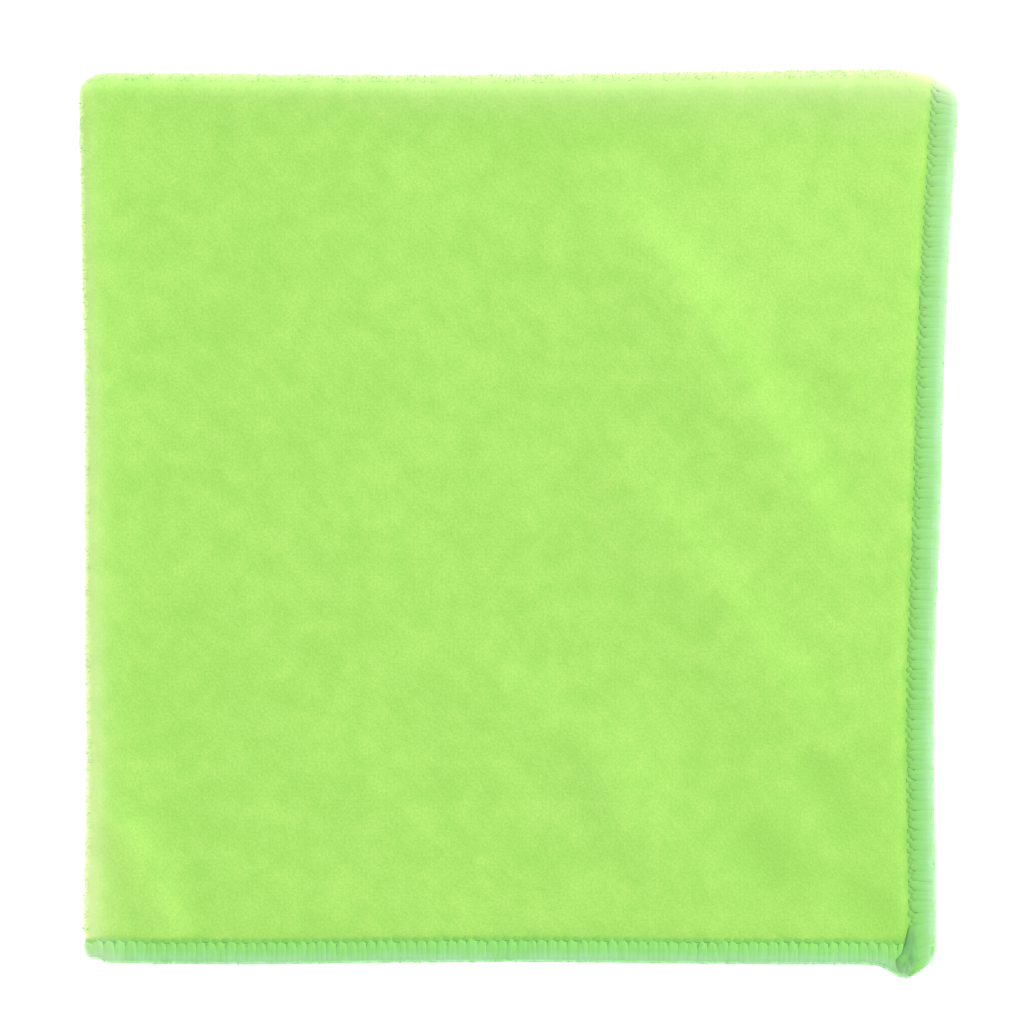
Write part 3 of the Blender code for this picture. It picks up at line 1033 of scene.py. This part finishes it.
class MICROFIBRE_OT_fold_cloth(bpy.types.Operator):
    """Fold the square sheet in four and give it its pile"""

    bl_idname = "microfibre.fold_cloth"
    bl_label = "Fold the cloth"

    def execute(self, context):
        ways, insets = grid_lines()
        count = len(ways)
        first, _ = settle_lines(ways, insets, 0, (ways, ways))
        second, _ = settle_lines(ways, insets, 1, (ways, ways))
        rows, columns = (second[:, 0], second[:, -1]), (first[:, 0], first[:, -1])
        first, from_right = settle_lines(ways, insets, 0, rows)
        second, from_foot = settle_lines(ways, insets, 1, columns)

        bm = bmesh.new()
        bmesh.ops.create_grid(bm, x_segments=count - 1, y_segments=count - 1, size=1.0)
        cloth = add_piece("folded_cloth", bm)
        mesh = cloth.data
        points = points_of(mesh)
        column, row = np.rint((points[:, :2] + 1) / 2 * (count - 1)).astype(int).T
        first, from_right = first[column, row], from_right[column, row]
        second, from_foot = second[row, column], from_foot[row, column]
        places = fold(first, second)
        move_points(mesh, places)

        across, down = flat_places(first, ACROSS), -flat_places(second, DOWN)
        chart_flat(mesh, np.stack((across, down), axis=1))
        inward = np.minimum(from_right, from_foot)
        write_values(mesh, "inward", inward / MM)
        x, y = (places - FOOTPRINT_SHIFT)[:, :2].T
        upper_face = (first > 0) & (second > 0)
        # Painted light and painted shade from the patches, on the upper face only.
        write_values(mesh, "painted_light_and_shade", np.where(upper_face, painted_light_and_shade(x, y), 0))
        # Painted highlights on the left fold and on the upper fold.
        write_values(mesh, "pale", fold_highlight(across, down, LEFT_FOLD_HIGHLIGHT))
        write_values(mesh, "top_fold_highlight", fold_highlight(down, across, TOP_FOLD_HIGHLIGHT))
        thicken(cloth, inward)
        finish_piece(cloth, terry_finish(context.scene.microfibre_cloth))
        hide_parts("cloth")
        return {"FINISHED"}


def turn_outwards(piece):
    """Turns every closed tube's faces outwards."""
    bm = bmesh.new()
    bm.from_mesh(piece.data)
    bmesh.ops.recalc_face_normals(bm, faces=bm.faces[:])
    bm.to_mesh(piece.data)
    bm.free()


TUBE_SPACING = 2.0                      # from one tube, of length 1, to the next


def repeated(name, count, sides, tip, rings=2):
    """Equal closed tubes in one mesh: each point's tube, place from 0 to 1 along it, section."""
    bm = bmesh.new()
    bmesh.ops.create_cone(
        bm, cap_ends=True, cap_tris=False, segments=sides, radius1=1.0, radius2=tip, depth=1.0,
    )
    if rings > 2:
        long_edges = [e for e in bm.edges if abs(e.verts[0].co.z - e.verts[1].co.z) > 0.5]
        bmesh.ops.subdivide_edges(bm, edges=long_edges, cuts=rings - 2, use_grid_fill=True)
    piece = add_piece(name, bm)
    copies = piece.modifiers.new("copies", "ARRAY")
    copies.count = count
    copies.use_relative_offset = False
    copies.use_constant_offset = True
    copies.constant_offset_displace = (0.0, 0.0, TUBE_SPACING)
    apply_modifiers(piece)
    points = points_of(piece.data)
    height = points[:, 2] + 0.5
    tube = np.floor(height / TUBE_SPACING + 0.01).astype(int)
    return piece, tube, height - TUBE_SPACING * tube, points[:, :2]


def fibre_sizes(draw, fuzz):
    """The lengths and the half thicknesses of one row's fibres."""
    lengths = fuzz.length * MM * draw.uniform(*FIBRE_LENGTHS, fuzz.count)
    return lengths, fuzz.thick / 2 * MM * draw.uniform(*FIBRE_THICKNESSES, fuzz.count)


def add_fibres(name, bases, ways, lengths, thick):
    """Short tapered fibres, one for each base, along its own way. None goes through the floor."""
    fibres, number, tip, section = repeated(name, len(bases), FIBRE_SIDES, 0.0)
    shafts = ways * lengths[:, None]
    shafts[:, 2] = np.maximum(shafts[:, 2], FLOOR_CLEARANCE - bases[:, 2])
    side = unit(np.cross(ways, FIBRE_ASIDE))
    other = np.cross(ways, side)
    points = (
        bases[number]
        + shafts[number] * tip[:, None]
        + side[number] * (thick[number] * section[:, 0])[:, None]
        + other[number] * (thick[number] * section[:, 1])[:, None]
    )
    move_points(fibres.data, points)
    turn_outwards(fibres)
    return fibres, number


class MICROFIBRE_OT_raise_fuzz(bpy.types.Operator):
    """Raise the short fuzz of the pile along the two folds"""

    bl_idname = "microfibre.raise_fuzz"
    bl_label = "Raise the fuzz"

    def execute(self, context):
        draw = np.random.default_rng(FUZZ_SEED)
        parts = []
        for fuzz in FOLD_FUZZ:
            across = draw.uniform(fuzz.across_from, fuzz.across_to, fuzz.count)
            down = draw.uniform(fuzz.down_from, fuzz.down_to, fuzz.count)
            parts.append((across, down, *fibre_sizes(draw, fuzz)))
        across, down, lengths, thick = joined(parts)
        first, second = ways_to(across * MM, ACROSS), ways_to(down * MM, DOWN)
        place, directions, face = sheet_frame(first, second)
        lean = strays(draw, (len(place), 2), FIBRE_LEAN, FIBRE_MOST_LEAN)
        ways = unit(face + directions[0] * lean[:, :1] + directions[1] * lean[:, 1:])
        bases = place + face * CLOTH_THICK * FIBRE_ROOT
        fibres, _ = add_fibres("fold_fuzz", bases, ways, lengths, thick)
        finish_piece(fibres, fuzz_finish(context.scene.microfibre_cloth))
        return {"FINISHED"}


def joined(parts):
    """The columns of several parts, each joined end to end."""
    return [np.concatenate(column) for column in zip(*parts)]


def add_threads(name, count, rings):
    """Equal threads in one mesh: each point's thread, its ring and its place in the section."""
    threads, thread, along, section = repeated(name, count, THREAD_SIDES, 1.0, rings)
    return threads, thread, np.clip(along * (rings - 1), 0, rings - 1), section


def ring_values(rings, ring, *names):
    """Named columns of a table of rings, read between its rows."""
    rows = np.arange(len(rings))
    return [np.interp(ring, rows, [getattr(r, name) for r in rings]) for name in names]


def stations(edges, pitch):
    """Where the stitches are: one row each, with their edge and the length along it."""
    rows = []
    for number, edge in enumerate(edges):
        length = whole_border(edge).lengths[-1]
        count = int(round(length / pitch))
        along = (np.arange(count) + 0.5) * length / count
        rows += [(number, spot, length) for spot in along]
    return np.array(rows)


def corner_lift(along, length):
    """How much the sewing rises by the two ends of its edge, where it meets the other row."""
    end = np.minimum(along, length - along)
    return 1 + CORNER_RISE * np.clip(1 - end / CORNER_REACH, 0, 1)


def row_highlight(row, from_fold):
    """How pale the threads are, from 0 to 1: a painted highlight where they round the fold, fading
    along the row.
    """
    near = row.pale * np.exp(-(from_fold / FOLD_HIGHLIGHT_REACH) ** 2)
    return np.maximum(near, row.fading * np.exp(-np.abs(from_fold) / FADING_REACH))


def finish_threads(threads, places, inward, pale):
    """Moves threads to their places, and marks how far in they are and how pale their painted
    highlight makes them.
    """
    move_points(threads.data, places)
    write_values(threads.data, "inward", inward)
    write_values(threads.data, "pale", pale)
    turn_outwards(threads)


def lay_threads(threads, edges, row, stitch, along, inward, shift, rise):
    """Lays a row's threads on its edges: the points' stitches, lengths along and millimetres."""
    number, _, length = stitch.T
    if row.lifted:
        rise = rise * corner_lift(along, length)
    places = np.empty((len(along), 3))
    for index, edge in enumerate(edges):
        mine = number == index
        run = whole_border(edge)
        reach = np.interp(along[mine], run.lengths, run.reaches)
        inset = np.maximum(inward[mine], 0) * reach + np.minimum(inward[mine], 0) + shift[mine]
        places[mine] = lay_on_edge(edge, run, along[mine], inset * MM, rise[mine] * MM)
    finish_threads(threads, places, inward, row_highlight(row, along - length / 2))
    return threads


def sew_loopers(name, edges, row, pitch):
    """The looper threads' legs, two to a stitch, round each edge."""
    draw = np.random.default_rng(row.seed)
    legs = np.repeat(stations(edges, pitch), 2, axis=0)
    threads, leg, ring, section = add_threads(name, len(legs), len(LEG_RINGS))
    inward, rise, width, height = ring_values(
        LEG_RINGS, ring, "inward", "rise", "width", "height"
    )
    before = ring_values(LEG_RINGS, ring - RING_STEP, "inward", "rise")
    after = ring_values(LEG_RINGS, ring + RING_STEP, "inward", "rise")
    ahead = unit(np.stack((after[0] - before[0], after[1] - before[1]), axis=1))

    uneven = strays(draw, (len(legs), 4))[leg]
    width = width * (1 + row.width * uneven[:, 0])
    rise_share = 1 + row.rise * uneven[:, 1]
    reach = inward / LEG_RINGS[0].inward
    inner = reach.clip(0, 1)
    fan = inner * LEG_SPREAD_AT_NEEDLE + (1 - inner) * LEG_SPREAD_AT_EDGE_SHARE * pitch
    along = legs[leg, 1] + np.where(leg % 2 == 0, -1, 1) * fan
    along = along + row.along * pitch * uneven[:, 3] * reach + width * MM * section[:, 0]
    shift = row.inward * uneven[:, 2] * inner - ahead[:, 1] * height * section[:, 1]
    rise = (rise + ahead[:, 0] * height * section[:, 1]) * rise_share
    return lay_threads(threads, edges, row, legs[leg], along, inward, shift, rise)


def sew_needle_thread(name, edges, row, pitch):
    """The needle thread's dashes along the inner line of the sewing."""
    draw = np.random.default_rng(row.seed + 1)
    stitches = stations(edges, pitch)
    threads, dash, ring, section = add_threads(name, len(stitches), len(BAR_RINGS))
    along, inward, rise, width, height = ring_values(
        BAR_RINGS, ring, "along", "inward", "rise", "width", "height"
    )
    uneven = strays(draw, (len(stitches), 2))[dash]
    along = stitches[dash, 1] + (along * row.dash + 0.5) * pitch
    shift = row.needle + row.inward * 0.5 * uneven[:, 0] + width * section[:, 0]
    rise = (rise + height * section[:, 1]) * (1 + row.rise * uneven[:, 1])
    return lay_threads(threads, edges, row, stitches[dash], along, inward, shift, rise)


def raise_sewing_fuzz(name, edges, row):
    """Loose fibres of the textured thread, out of the rims of the rows."""
    draw = np.random.default_rng(row.seed + 2)
    fuzz = RIM_FUZZ
    parts = []
    for edge in edges:
        run = whole_border(edge)
        middle, end = np.interp((0.0, FREE_EDGE), run.ways, run.lengths)
        along = draw.uniform(0.0, end, fuzz.count)
        inward = draw.uniform(fuzz.inward_from, fuzz.inward_to, fuzz.count)
        place, outward, beside, face = edge_frame(edge, run, along, inward * MM)
        rise = fuzz.high * MM * draw.uniform(-1, 1, fuzz.count)
        aside, lift = strays(draw, fuzz.count, fuzz.aside), strays(draw, fuzz.count, fuzz.lift)
        ways = unit(outward + beside * aside[:, None] + face * lift[:, None])
        bases = place + face * rise[:, None]
        # The loose fibres take the row's painted highlight too.
        pale = row_highlight(row, along - middle)
        parts.append((bases, ways, *fibre_sizes(draw, fuzz), inward, pale))
    *fibre_columns, inward, pale = joined(parts)
    fibres, number = add_fibres(name, *fibre_columns)
    write_values(fibres.data, "inward", inward[number])
    write_values(fibres.data, "pale", pale[number])
    return fibres


def sew_row(context, side_name, edges, row):
    """One row's three pieces: the loopers' legs, the needle thread and the loose fibres."""
    settings = context.scene.microfibre_sewing
    loopers = sew_loopers("overlock_" + side_name, edges, row, settings.pitch)
    needle = sew_needle_thread("needle_thread_" + side_name, edges, row, settings.pitch)
    fuzz = raise_sewing_fuzz("sewing_fuzz_" + side_name, edges, row)
    inner, middle, outer = settings.bite_shade_colour, settings.middle_colour, settings.outer_colour
    looper_thread = thread_finish("looper_thread_" + side_name, settings, inner, middle, outer)
    # The needle thread is one colour, darker with painted shade.
    dips = settings.needle_shade_colour
    needle_line = thread_finish("needle_line_" + side_name, settings, dips, dips, dips)
    finish_piece(loopers, looper_thread)
    finish_piece(needle, needle_line)
    finish_piece(fuzz, looper_thread)


class MICROFIBRE_OT_sew_right_edges(bpy.types.Operator):
    """Sew the overlocked edges that lie together at the right"""

    bl_idname = "microfibre.sew_right_edges"
    bl_label = "Sew the right edges"

    def execute(self, context):
        sew_row(context, "right", RIGHT_EDGES, RIGHT_ROW)
        return {"FINISHED"}


class MICROFIBRE_OT_sew_foot_edges(bpy.types.Operator):
    """Sew the overlocked edges that lie together at the foot"""

    bl_idname = "microfibre.sew_foot_edges"
    bl_label = "Sew the foot edges"

    def execute(self, context):
        sew_row(context, "foot", FOOT_EDGES, FOOT_ROW)
        return {"FINISHED"}


class MICROFIBRE_OT_leave_tail(bpy.types.Operator):
    """Leave the plaited end of the threads at the lower right corner"""

    bl_idname = "microfibre.leave_tail"
    bl_label = "Leave the thread tail"

    def execute(self, context):
        settings = context.scene.microfibre_sewing
        edge = FOOT_EDGES[0]
        run = whole_border(edge)
        tail, strand, ring, section = add_threads("thread_tail", TAIL_STRANDS, TAIL_RINGS)
        t = ring / (TAIL_RINGS - 1)
        from_end, inward, rise, width = ring_values(
            TAIL_PATH, t * (len(TAIL_PATH) - 1), "from_end", "inward", "rise", "spread"
        )
        angle = 2 * np.pi * (TAIL_TURNS * t + strand / TAIL_STRANDS)
        thin = np.clip(np.minimum(t, 1 - t) / TAIL_TAPER, TAIL_TIP, 1)
        across = width * MM * np.sin(angle) + TAIL_STRAND * thin * section[:, 0]
        above = TAIL_CROSSING * np.sin(2 * angle)
        above = above + TAIL_STRAND * TAIL_FLATNESS * thin * section[:, 1]
        along = run.lengths[-1] - from_end * MM + across
        places = lay_on_edge(edge, run, along, inward * MM, rise * MM + above)
        finish_threads(tail, places, inward, np.zeros(len(places)))
        colour = settings.tail_colour
        paler = tuple(part + (1 - part) * TAIL_RIM_PALER for part in colour)
        finish_piece(tail, thread_finish("tail_thread", settings, colour, colour, paler))
        return {"FINISHED"}


# ---------------- stage

def add_lamp(lamp, power, target):
    light = bpy.data.lights.new(lamp.name, "AREA")
    light.shape = "RECTANGLE"
    light.size = lamp.size
    light.size_y = lamp.height
    light.energy = power * lamp.share
    holder = bpy.data.objects.new(lamp.name, light)
    holder.location = (lamp.x, lamp.y, lamp.z)
    holder.rotation_euler = (target - holder.location).to_track_quat("-Z", "Y").to_euler()
    bpy.context.scene.collection.objects.link(holder)


class MICROFIBRE_OT_set_stage(bpy.types.Operator):
    """Set the white floor, the lamps and the camera that looks straight down"""

    bl_idname = "microfibre.set_stage"
    bl_label = "Set the stage"

    def execute(self, context):
        scene = context.scene
        settings = scene.microfibre_stage

        bm = bmesh.new()
        bmesh.ops.create_grid(bm, x_segments=1, y_segments=1, size=FLOOR_HALF)
        bmesh.ops.translate(bm, verts=bm.verts[:], vec=(0.0, 0.0, -FLOOR_DROP))
        floor = add_piece("floor", bm)
        paper = Finish("white_paper")
        floor.data.materials.append(paper.shine(
            Base_Color=PAPER, Roughness=0.9,
            Emission_Color=WHITE, Emission_Strength=settings.floor_glow,
        ))

        world = bpy.data.worlds.new("daylight")
        world.use_nodes = True
        sky = world.node_tree.nodes["Background"]
        sky.inputs["Color"].default_value = WHITE
        sky.inputs["Strength"].default_value = settings.daylight
        scene.world = world

        target = Vector((*VIEW_MIDDLE, 0.0))
        for lamp in LAMPS:
            add_lamp(lamp, settings.lamp_power, target)

        lens = bpy.data.cameras.new("camera")
        lens.sensor_width = SENSOR_WIDTH
        lens.lens = settings.lens
        lens.clip_end = 20.0
        camera = bpy.data.objects.new("camera", lens)
        distance = VIEW_WIDTH * settings.lens / SENSOR_WIDTH
        camera.location = (*VIEW_MIDDLE, STACK_MIDDLE + distance)
        scene.collection.objects.link(camera)
        scene.camera = camera
        scene.view_settings.view_transform = "Standard"
        return {"FINISHED"}


# ---------------- add-on

class MICROFIBRE_PT_cloth(bpy.types.Panel):
    """Lists the steps that make the cloth"""

    bl_label = "Folded cloth"
    bl_space_type = "VIEW_3D"
    bl_region_type = "UI"
    bl_category = "Cloth"

    def draw(self, context):
        for name, _, steps in GROUPS:
            settings = getattr(context.scene, name)
            box = self.layout.box()
            for value in settings.__annotations__:
                box.prop(settings, value)
            for step in steps:
                box.operator(step.bl_idname)


GROUPS = (
    ("microfibre_cloth", ClothSettings, (MICROFIBRE_OT_fold_cloth, MICROFIBRE_OT_raise_fuzz)),
    ("microfibre_sewing", SewingSettings, (
        MICROFIBRE_OT_sew_right_edges,
        MICROFIBRE_OT_sew_foot_edges,
        MICROFIBRE_OT_leave_tail,
    )),
    ("microfibre_stage", StageSettings, (MICROFIBRE_OT_set_stage,)),
)


def register():
    for name, settings, steps in GROUPS:
        bpy.utils.register_class(settings)
        setattr(bpy.types.Scene, name, PointerProperty(type=settings))
        for step in steps:
            bpy.utils.register_class(step)
    bpy.utils.register_class(MICROFIBRE_PT_cloth)


def unregister():
    bpy.utils.unregister_class(MICROFIBRE_PT_cloth)
    for name, settings, steps in GROUPS:
        for step in steps:
            bpy.utils.unregister_class(step)
        delattr(bpy.types.Scene, name)
        bpy.utils.unregister_class(settings)


def main():
    register()
    bpy.ops.microfibre.fold_cloth()
    bpy.ops.microfibre.raise_fuzz()
    bpy.ops.microfibre.sew_right_edges()
    bpy.ops.microfibre.sew_foot_edges()
    bpy.ops.microfibre.leave_tail()
    bpy.ops.microfibre.set_stage()


if __name__ == "__main__":
    main()
